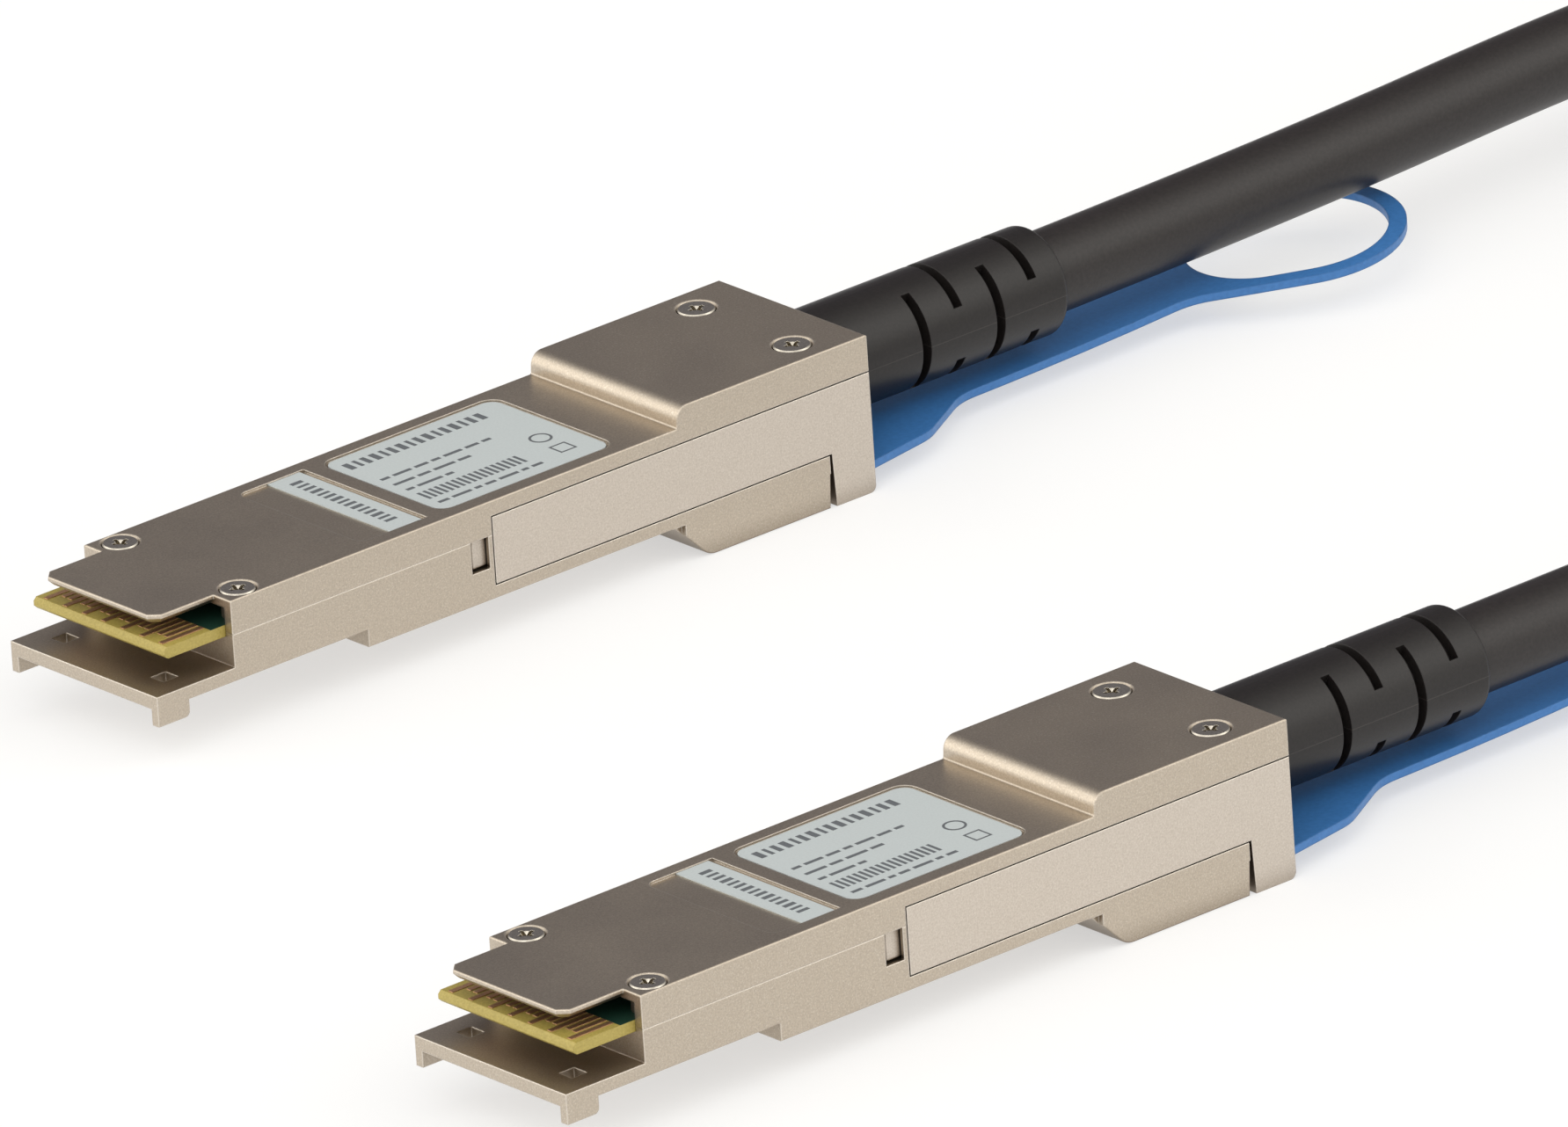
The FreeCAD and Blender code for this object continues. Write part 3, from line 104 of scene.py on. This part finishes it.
def cast_nickel(name, dark, light):
    """Zinc die casting, bead-blasted and then nickel-plated: a warm satin metal with a fine even
    speckle, edges brightened in colour, partly as wear from handling and tumbling and partly as a
    painted highlight, and painted shade that darkens the colour in recesses and near other parts and the
    floor."""
    # The blast's pits are about 0.05 mm, too fine to show, so its grain and flecks are drawn coarser
    grain_mm, fleck_mm, pit_depth_mm = 0.16, 0.12, 0.002
    patch_mm, edge_mm, recess_mm = 7.0, 0.18, 4.0
    fleck_share, wear_and_highlight_share, painted_shade_share = 0.25, 0.7, 0.75
    smoothest, roughest = 0.36, 0.46
    material, tree, shader = new_material(name)
    place = add(tree, "TexCoord").outputs["Object"]
    grain = add(tree, "TexNoise", {"Vector": place, "Scale": 1 / (grain_mm * MM), "Detail": 1.0})
    fleck = add(tree, "TexNoise", {"Vector": place, "Scale": 1 / (fleck_mm * MM), "Detail": 0.0})
    patch = add(tree, "TexNoise", {"Vector": place, "Scale": 1 / (patch_mm * MM), "Detail": 2.0})
    tone = add(tree, "ValToRGB", {"Fac": grain.outputs["Fac"]})
    set_stops(tone, (0.2, 0.8), (dark, light))
    spark = add(tree, "MapRange", {"Value": fleck.outputs["Fac"], "From Min": 0.6, "From Max": 0.75,
                                   "To Min": 0.0, "To Max": fleck_share})
    flecked = add(tree, "MixRGB", {"Fac": spark.outputs["Result"], "Color1": tone.outputs["Color"],
                                   "Color2": linear("#F0EAE0")})
    # An edge is where the normal, rounded over edge_mm, turns away from the flat face's own
    soft = add(tree, "Bevel", {"Radius": edge_mm * MM}, samples=6)
    flat = add(tree, "NewGeometry").outputs["Normal"]
    facing = add(tree, "VectorMath", {0: soft.outputs["Normal"], 1: flat}, operation="DOT_PRODUCT")
    # Brighter edges: partly polish from wear and partly a painted highlight, mixed towards near-white
    wear_and_highlight = add(tree, "MapRange", {"Value": facing.outputs["Value"], "From Min": 0.995, "From Max": 0.8,
                                  "To Min": 0.0, "To Max": wear_and_highlight_share})
    colour = add(tree, "MixRGB", {"Fac": wear_and_highlight.outputs["Result"], "Color1": flecked.outputs["Color"],
                                  "Color2": linear("#F8F2E8")})
    # Painted shade: where surfaces within recess_mm close round a point, in recesses and near other parts and
    # the floor, its colour darkens towards a dull brown
    open_way = add(tree, "AmbientOcclusion", {"Distance": recess_mm * MM}, samples=4)
    dull = add(tree, "MapRange", {"Value": open_way.outputs["AO"], "From Min": 0.75, "From Max": 0.3,
                                  "To Min": 0.0, "To Max": painted_shade_share})
    shaded_colour = add(tree, "MixRGB", {"Fac": dull.outputs["Result"], "Color1": colour.outputs["Color"],
                                 "Color2": linear("#6E5F4E")})
    rough = add(tree, "MapRange", {"Value": patch.outputs["Fac"], "To Min": smoothest, "To Max": roughest})
    bump = add(tree, "Bump", {"Height": grain.outputs["Fac"], "Strength": 1.0,
                              "Distance": pit_depth_mm * MM, "Normal": soft.outputs["Normal"]})
    shader.inputs["Metallic"].default_value = 1.0
    tree.links.new(shaded_colour.outputs["Color"], shader.inputs["Base Color"])
    tree.links.new(rough.outputs["Result"], shader.inputs["Roughness"])
    tree.links.new(bump.outputs["Normal"], shader.inputs["Normal"])
    return material


def finish(name, dark, light, rough, metallic=0.0, gloss=0.5, grain_mm=0.2, depth_mm=0.003, edge_mm=0.1):
    """A surface whose fine grain runs between two near colours, with edges rounded by edge_mm. The real
    grain is mostly finer than 0.1 mm, too fine to show, so grain_mm draws it coarser. Returns the
    material, its tree and shader, and the nodes that its colour and its bump come from."""
    material, tree, shader = new_material(name)
    place = add(tree, "TexCoord").outputs["Object"]
    grain = add(tree, "TexNoise", {"Vector": place, "Scale": 1 / (grain_mm * MM), "Detail": 3.0})
    tone = add(tree, "ValToRGB", {"Fac": grain.outputs["Fac"]})
    set_stops(tone, (0.3, 0.7), (dark, light))
    soft = add(tree, "Bevel", {"Radius": edge_mm * MM}, samples=4)
    bump = add(tree, "Bump", {"Height": grain.outputs["Fac"], "Strength": 1.0, "Distance": depth_mm * MM,
                              "Normal": soft.outputs["Normal"]})
    shader.inputs["Metallic"].default_value = metallic
    shader.inputs["Roughness"].default_value = rough
    shader.inputs["Specular IOR Level"].default_value = gloss
    tree.links.new(tone.outputs["Color"], shader.inputs["Base Color"])
    tree.links.new(bump.outputs["Normal"], shader.inputs["Normal"])
    return material, tree, shader, tone, bump


def overlay(tree, shader, factor, below, code):
    """Lays one more colour over the one below, where factor is 1."""
    mixed = add(tree, "MixRGB", {"Fac": factor, "Color1": below, "Color2": linear(code)})
    tree.links.new(mixed.outputs["Color"], shader.inputs["Base Color"])


def laminate(end):
    """Glass-epoxy laminate, bare and yellow-olive at the edge connector; behind the contacts its
    top is under green solder mask."""
    # The mask starts bare_mm behind the board's front edge, on faces that point up
    bare_mm, upward = 4.9, 0.5
    material, tree, shader, tone, _ = finish(f"glass_epoxy_{end}", "#9F8E45", "#B3A257", 0.42)
    mask_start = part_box(f"{end}_circuit_board")[0][0] + bare_mm * MM
    along = add(tree, "SeparateXYZ", {0: add(tree, "TexCoord").outputs["Object"]})
    up = add(tree, "SeparateXYZ", {0: add(tree, "NewGeometry").outputs["Normal"]})
    behind = add(tree, "Math", {0: along.outputs["X"], 1: mask_start}, operation="GREATER_THAN")
    face = add(tree, "Math", {0: up.outputs["Z"], 1: upward}, operation="GREATER_THAN")
    both = add(tree, "Math", {0: behind.outputs[0], 1: face.outputs[0]}, operation="MULTIPLY")
    overlay(tree, shader, both.outputs[0], tone.outputs["Color"], "#1B3A2F")
    return material


def moulded_boot():
    """Black PVC moulded over the cable in two halves: a fine matt texture, and the faint raised
    line at the cable's height where the halves of the mould met."""
    half_line_mm, ridge_mm = 0.06, 0.015
    material, tree, shader, tone, bump = finish("moulded_pvc", "#171413", "#201C1B", 0.4, gloss=0.42,
                                                grain_mm=0.25, depth_mm=0.006, edge_mm=0.12)
    low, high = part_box("end_a_cable_ferrule")
    axis = (low[2] + high[2]) / 2
    level = add(tree, "SeparateXYZ", {0: add(tree, "TexCoord").outputs["Object"]})
    away = add(tree, "Math", {0: level.outputs["Z"], 1: axis}, operation="SUBTRACT")
    size = add(tree, "Math", {0: away.outputs[0]}, operation="ABSOLUTE")
    line = add(tree, "MapRange", {"Value": size.outputs[0], "From Min": half_line_mm * MM, "From Max": 0.0})
    overlay(tree, shader, line.outputs["Result"], tone.outputs["Color"], "#34302E")
    ridge = add(tree, "Bump", {"Height": line.outputs["Result"], "Strength": 1.0,
                               "Distance": ridge_mm * MM, "Normal": bump.outputs["Normal"]})
    tree.links.new(ridge.outputs["Normal"], shader.inputs["Normal"])
    return material


# One finish for each material slot of the record, but for the board's, which is among the ones below
MATERIALS = {
    "cast_nickel": cast_nickel("blasted_nickel_plate", "#B6AA9B", "#CDC1B0"),
    # PVC drawn over the cable: matt, with a slightly pebbled skin
    "black_jacket": finish("extruded_pvc", "#1E1A19", "#292423", 0.42, gloss=0.45, grain_mm=0.3,
                           depth_mm=0.008)[0],
    # Soft elastomer moulded in one colour: satin, with rounded edges that catch the light
    "blue_tab": finish("blue_elastomer", "#356EAC", "#3D78B8", 0.42, grain_mm=0.4, edge_mm=0.25)[0],
    # Gold flash over nickel: pinkish and slightly dull from wiping
    "gold_contacts": finish("gold_flash", "#C79C78", "#DDB28C", 0.5, 1.0)[0],
    # Epoxy chip package: dark and matt
    "black_package": finish("moulded_epoxy", "#1A1A1B", "#232324", 0.5)[0],
    # Fired ceramic chips: brown and dull
    "ceramic": finish("fired_ceramic", "#80694F", "#927A62", 0.5)[0],
    # Foil wound round each pair: bright and slightly creased
    "pair_foil": finish("wound_foil", "#AEB0B3", "#C6C8CB", 0.35, 1.0, grain_mm=0.6, depth_mm=0.01)[0],
    # Drawn spring wire: grey and smooth
    "spring_steel": finish("drawn_wire", "#A0A09E", "#B2B2B0", 0.3, 1.0)[0],
    # Turned steel ferrule: grey with a fine tool finish
    "ferrule_steel": finish("turned_steel", "#A6A5A2", "#BAB9B6", 0.3, 1.0)[0],
    # Cold-headed screws, nickel-plated: brighter and smoother than the casting
    "screw_steel": finish("plated_screw", "#C6BFB2", "#DCD5C8", 0.27, 1.0, edge_mm=0.06)[0],
    # Printed polyester film: pale blue-grey, satin
    "label": finish("polyester_film", "#B9C0C1", "#BFC6C7", 0.42)[0],
}
# Parts whose finish is more exact than their slot's. The slider is blasted finer than the castings
OWN_FINISH = {
    "release_slider": dict.fromkeys(ENDS, cast_nickel("fine_blasted_nickel_plate", "#C5BAAD", "#D9CFC3")),
    "circuit_board": {end: laminate(end) for end in ENDS},
    "strain_relief_boot": dict.fromkeys(ENDS, moulded_boot()),
}
# Screen-printed ink: dark grey, dry and matt
INK = finish("printed_ink", "#5C6064", "#65696D", 0.5)[0]


def dress_nodes():
    """Gives every node of the model the material of its slot, or the finish of its own."""
    for part in frame["record"]["subparts"]:
        name = part["node"]
        end, kind = name[:len(ENDS[0])], name[len(ENDS[0]) + 1:]
        material = OWN_FINISH[kind][end] if kind in OWN_FINISH else MATERIALS[part["material_slot"]]
        NODES[name].data.materials.clear()
        NODES[name].data.materials.append(material)


dress_nodes()


# The cable: the points of the model's own route, in metres, from one ferrule to the other

CABLE_POINTS = [
    (0.0144, 0.0436, 0.0082),
    (0.0669, 0.0436, 0.0082),
    (0.1191, 0.0449, 0.0101),
    (0.1525, 0.0470, 0.0064),
    (0.1860, 0.0506, 0.0036),
    (0.2185, 0.0333, 0.0036),
    (0.2320, 0.0, 0.0036),
    (0.2185, -0.0333, 0.0036),
    (0.1860, -0.0506, 0.0036),
    (0.1555, -0.0490, 0.0036),
    (0.1210, -0.0468, 0.0062),
    (0.0876, -0.0449, 0.0101),
    (0.0354, -0.0436, 0.0082),
    (-0.0171, -0.0436, 0.0082),
]
CABLE_DIAMETER = 7.2 * MM


def make_cable():
    """The jacketed cable: a circle of the cable's diameter carried along one smooth spline, which runs
    through both boots, over the tabs' loops and round on the floor."""
    curve = bpy.data.curves.new("cable_jacket", "CURVE")
    curve.dimensions = "3D"
    spline = curve.splines.new("NURBS")
    spline.points.add(len(CABLE_POINTS) - 1)
    spline.points.foreach_set("co", np.array([(*p, 1.0) for p in CABLE_POINTS]).ravel())
    spline.order_u = 3
    spline.use_endpoint_u = True
    spline.resolution_u = 16
    curve.bevel_depth = CABLE_DIAMETER / 2
    curve.bevel_resolution = 10
    curve.use_fill_caps = True
    curve.materials.append(MATERIALS["black_jacket"])
    cable = bpy.data.objects.new("cable_jacket", curve)
    bpy.context.collection.objects.link(cable)
    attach(cable, "plugs_and_cable")
    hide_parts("cable")


make_cable()


# The return springs, which shorten as the sliders are pulled back

SPRING_WIRE, SPRING_TURNS = 0.3 * MM, 6


def coil(start, end, centre, radius, steps=240, around=10):
    """A coil of round wire along X: its middle line goes round the centre at the radius while X runs from
    start to end, and each ring of its skin stands across that line. Returns its points, the four-sided
    faces of the skin, and the triangles that fan over both ends."""
    run = np.linspace(0.0, 1.0, steps + 1)[:, None]
    turn = 2 * np.pi * SPRING_TURNS * run
    zero = np.zeros_like(run)
    outward = np.hstack([zero, np.cos(turn), np.sin(turn)])
    pitch = (end - start) / (2 * np.pi * SPRING_TURNS)
    ahead = np.hstack([zero + pitch, -radius * np.sin(turn), radius * np.cos(turn)])
    ahead /= np.linalg.norm(ahead, axis=1, keepdims=True)
    side = np.cross(ahead, outward)
    line = np.hstack([start + (end - start) * run, zero + centre[0], zero + centre[1]]) + radius * outward
    angle = np.linspace(0, 2 * np.pi, around, endpoint=False)[None, :, None]
    across = np.cos(angle) * outward[:, None] + np.sin(angle) * side[:, None]
    skin = line[:, None] + SPRING_WIRE / 2 * across
    points = np.vstack([skin.reshape(-1, 3), line[:1], line[-1:]])
    row, column = np.meshgrid(np.arange(steps), np.arange(around), indexing="ij")
    after = (column + 1) % around
    quads = np.stack([row * around + column, row * around + after, (row + 1) * around + after,
                      (row + 1) * around + column], axis=-1).reshape(-1, 4)
    ring, first_cap = np.arange(around), (steps + 1) * around
    beyond = (ring + 1) % around
    front = np.stack([np.full(around, first_cap), beyond, ring], axis=-1)
    rear = np.stack([np.full(around, first_cap + 1), steps * around + ring, steps * around + beyond], axis=-1)
    return points, quads, np.vstack([front, rear])


def make_springs(end):
    """Both return springs of one end, each in the space of its solid."""
    low, high = (np.array(c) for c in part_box(f"{end}_return_springs"))
    outer, level = (high[2] - low[2]) / 2, (high[2] + low[2]) / 2
    half_wire = SPRING_WIRE / 2
    near, far = (coil(low[0] + half_wire, high[0] - half_wire, (across, level), outer - half_wire)
                 for across in (low[1] + outer, high[1] - outer))
    points = np.vstack([near[0], far[0]])
    quads, fans = (np.vstack([near[k], far[k] + len(near[0])]) for k in (1, 2))
    mesh = bpy.data.meshes.new(f"{end}_coil_springs")
    mesh.from_pydata(points.tolist(), [], quads.tolist() + fans.tolist())
    mesh.polygons.foreach_set("use_smooth", [True] * len(mesh.polygons))
    mesh.materials.append(MATERIALS["spring_steel"])
    springs = bpy.data.objects.new(f"{end}_coil_springs", mesh)
    bpy.context.collection.objects.link(springs)
    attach(springs, "plugs_and_cable")
    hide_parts(f"{end}_return_springs")
    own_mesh(springs)


for end in ENDS:
    make_springs(end)


# Print on the labels: plain dashes, stripes, a ring and a square

def dashes(start, end, near, far, widths, gap):
    """A row of dashes between near and far: their widths repeat along the row, a gap apart, until its end."""
    rows = []
    at, turn = start, 0
    while at + widths[turn % len(widths)] <= end:
        rows.append((at, at + widths[turn % len(widths)], near, far))
        at += widths[turn % len(widths)] + gap
        turn += 1
    return rows


# Each bar is (start, end, near, far) in mm: start and end from the label's front edge, near and far
# from its edge at the side of +Y
TITLE = dashes(0.9, 15.9, 1.3, 2.7, (0.6, 0.35, 0.5), 0.45)
LINES = (dashes(1.0, 14.6, 6.0, 6.4, (0.9, 1.9, 1.4), 0.4) + dashes(1.0, 10.4, 7.6, 8.0, (2.2, 1.3), 0.4)
         + dashes(1.0, 8.2, 9.2, 9.6, (0.8, 2.6), 0.4) + dashes(1.0, 13.0, 13.2, 13.6, (1.1, 2.0, 0.7), 0.4))
STRIPES = dashes(1.0, 12.0, 10.6, 12.3, (0.3,), 0.3)
# Each frame is (along, across, outer radius, inner radius, corners) in mm: a ring, and a square
FRAMES = [(15.4, 9.3, 1.0, 0.78, 24), (15.3, 12.2, 1.2, 0.95, 4)]
# The row on the small label runs across it, so its start and end are taken from the edge at +Y
SMALL_ROW = dashes(1.4, 14.2, 1.1, 2.3, (0.5, 0.35, 0.42), 0.42)
INK_THICKNESS = 0.01 * MM


def slab(bars):
    """Closed boxes, one for each row (low x, high x, low y, high y, low z, high z): the four corners of
    its foot, the same four at its top, and six faces between them."""
    bars = np.asarray(bars)
    pick = np.array([(0, 2), (1, 2), (1, 3), (0, 3)])
    base = np.stack([bars[:, pick[:, 0]], bars[:, pick[:, 1]]], axis=-1)
    rings = [np.concatenate([base, np.repeat(bars[:, None, k:k + 1], 4, axis=1)], axis=-1) for k in (4, 5)]
    points = np.concatenate(rings, axis=1).reshape(-1, 3)
    around = np.array([(3, 2, 1, 0), (4, 5, 6, 7), (0, 1, 5, 4), (1, 2, 6, 5), (2, 3, 7, 6), (3, 0, 4, 7)])
    faces = (around[None] + 8 * np.arange(len(bars))[:, None, None]).reshape(-1, 4)
    return points, faces


def flat_frame(centre, outer, inner, low, high, corners):
    """A flat closed frame: the four corners of its section go round the centre in equal steps."""
    turn = (np.arange(corners)[:, None] + 0.5) * 2 * np.pi / corners
    radius = np.array([inner, outer, outer, inner])[None]
    level = np.broadcast_to(np.array([low, low, high, high]), (corners, 4))
    points = np.stack([centre[0] + radius * np.cos(turn), centre[1] + radius * np.sin(turn), level], axis=-1)
    here = 4 * np.arange(corners)[:, None]
    after = np.roll(here, -1, axis=0)
    k, n = np.arange(4)[None], (np.arange(4)[None] + 1) % 4
    faces = np.stack([here + k, after + k, after + n, here + n], axis=-1).reshape(-1, 4)
    return points.reshape(-1, 3), faces


def make_print(end):
    """The ink on both labels of one end, a hundredth of a millimetre proud of the film."""
    low, high = (np.array(c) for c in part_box(f"{end}_main_label"))
    main = np.array(TITLE + LINES + STRIPES) * MM
    bars = np.column_stack([low[0] + main[:, 0], low[0] + main[:, 1],
                            high[1] - main[:, 3], high[1] - main[:, 2]])
    small_low, small_high = (np.array(c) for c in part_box(f"{end}_small_label"))
    row = np.array(SMALL_ROW) * MM
    small = np.column_stack([small_low[0] + row[:, 2], small_low[0] + row[:, 3],
                             small_high[1] - row[:, 1], small_high[1] - row[:, 0]])
    flat = np.vstack([bars, small])
    under, over = high[2] - INK_THICKNESS, high[2] + INK_THICKNESS
    points, faces = slab(np.hstack([flat, np.full((len(flat), 1), under), np.full((len(flat), 1), over)]))
    for along, across, outer, inner, corners in FRAMES:
        centre = (low[0] + along * MM, high[1] - across * MM)
        shape, around = flat_frame(centre, outer * MM, inner * MM, under, over, corners)
        faces = np.vstack([faces, around + len(points)])
        points = np.vstack([points, shape])
    mesh = bpy.data.meshes.new(f"{end}_label_print")
    mesh.from_pydata(points.tolist(), [], faces.tolist())
    mesh.materials.append(INK)
    piece = bpy.data.objects.new(f"{end}_label_print", mesh)
    bpy.context.collection.objects.link(piece)
    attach(piece, "plugs_and_cable")


for end in ENDS:
    make_print(end)


# Camera, floor and light

# The camera's place, from a fit to the plugs' corners in the photograph: degrees, metres and millimetres
HEADING, ELEVATION, ROLL = 39.476, 22.302, -3.867
DISTANCE, NEAR, FAR = 3.545, 0.1, 60.0
AIM = Vector((-0.00838, 0.00962, 0.01003))
LENS, SENSOR = 1009.5, 36.0


def make_camera():
    """A long lens at the photograph's angle."""
    heading, elevation = math.radians(HEADING), math.radians(ELEVATION)
    ahead = Vector((math.sin(heading) * math.cos(elevation), math.cos(heading) * math.cos(elevation),
                    -math.sin(elevation)))
    data = bpy.data.cameras.new("camera")
    data.lens, data.sensor_width, data.sensor_fit = LENS, SENSOR, "HORIZONTAL"
    data.clip_start, data.clip_end = NEAR, FAR
    camera = bpy.data.objects.new("camera", data)
    level = ahead.to_track_quat("-Z", "Y").to_matrix().to_4x4()
    turned = level @ Matrix.Rotation(math.radians(ROLL), 4, "Z")
    camera.matrix_world = Matrix.Translation(AIM - ahead * DISTANCE) @ turned
    bpy.context.collection.objects.link(camera)
    bpy.context.scene.camera = camera


def make_floor():
    """A white paper floor that keeps the soft shadow of what stands on it. The camera and glossy
    surfaces see a share of plain white in it, as they would in a room with white paper all round."""
    half, seen_share, glossy_share = 12.0, 0.55, 0.52
    corners = [(-half, -half, 0), (half, -half, 0), (half, half, 0), (-half, half, 0)]
    mesh = bpy.data.meshes.new("floor")
    mesh.from_pydata(corners, [], [(0, 1, 2, 3)])
    floor = bpy.data.objects.new("floor", mesh)
    material = bpy.data.materials.new("white_paper")
    material.use_nodes = True
    tree = material.node_tree
    tree.nodes.clear()
    ray = add(tree, "LightPath")
    glossy = add(tree, "Math", {0: ray.outputs["Is Glossy Ray"], 1: glossy_share}, operation="MULTIPLY")
    share = add(tree, "Math", {0: ray.outputs["Is Camera Ray"], 1: seen_share, 2: glossy.outputs[0]},
                operation="MULTIPLY_ADD")
    paper = add(tree, "BsdfDiffuse", {"Color": linear("#FAFAFA")})
    glow = add(tree, "Emission", {"Color": (1, 1, 1, 1), "Strength": 1.0})
    mix = add(tree, "MixShader", {0: share.outputs[0], 1: paper.outputs[0], 2: glow.outputs[0]})
    add(tree, "OutputMaterial", {"Surface": mix.outputs[0]})
    mesh.materials.append(material)
    bpy.context.collection.objects.link(floor)


def near_way(tree, way, where, wide, close, low, high):
    """Over the world's directions, a smooth rise from low to high as they near one direction: wide and
    close are the cosines of the angles to it at which the rise starts and ends."""
    facing = add(tree, "VectorMath", {0: way, 1: where}, operation="DOT_PRODUCT")
    rise = add(tree, "MapRange", {"Value": facing.outputs["Value"], "From Min": wide, "From Max": close,
                                  "To Min": low, "To Max": high}, interpolation_type="SMOOTHSTEP")
    return rise.outputs["Result"]


def make_world():
    """White behind the object, and for what reflects it a bright studio that is dim only at the back right,
    with a brighter panel at the left and another high at the right, whose gloss runs along the cable."""
    dim_way, left_way, high_way = (0.588, 0.714, 0.379), (-0.686, 0.714, 0.136), (0.588, -0.56, 0.58)
    bright, dim, white = (1.05, 1.03, 0.985, 1), (0.175, 0.168, 0.183, 1), (1, 1, 1, 1)
    world = bpy.data.worlds.new("studio")
    bpy.context.scene.world = world
    world.use_nodes = True
    tree = world.node_tree
    tree.nodes.clear()
    ray = add(tree, "LightPath")
    way = add(tree, "TexCoord").outputs["Generated"]
    tint = add(tree, "MixRGB", {"Fac": near_way(tree, way, dim_way, 0.5, 0.93, 0.0, 1.0),
                                "Color1": bright, "Color2": dim})
    level = add(tree, "Math", {0: near_way(tree, way, left_way, 0.6, 0.95, 1.0, 1.85),
                               1: near_way(tree, way, high_way, 0.9, 0.98, 0.0, 1.0)}, operation="ADD")
    studio = add(tree, "Background", {"Color": tint.outputs["Color"], "Strength": level.outputs[0]})
    behind = add(tree, "Background", {"Color": white, "Strength": 1.0})
    mix = add(tree, "MixShader", {0: ray.outputs["Is Camera Ray"], 1: studio.outputs[0],
                                  2: behind.outputs[0]})
    add(tree, "OutputWorld", {"Surface": mix.outputs[0]})


def make_lamp(name, place, size, watts):
    """A soft square lamp that faces the object."""
    data = bpy.data.lights.new(name, "AREA")
    data.energy, data.size = watts, size
    lamp = bpy.data.objects.new(name, data)
    lamp.location = place
    lamp.rotation_euler = (AIM - Vector(place)).to_track_quat("-Z", "Y").to_euler()
    bpy.context.collection.objects.link(lamp)


make_camera()
make_floor()
make_world()
make_lamp("key_lamp", place=(-0.9, -0.5, 1.0), size=0.9, watts=3.8)
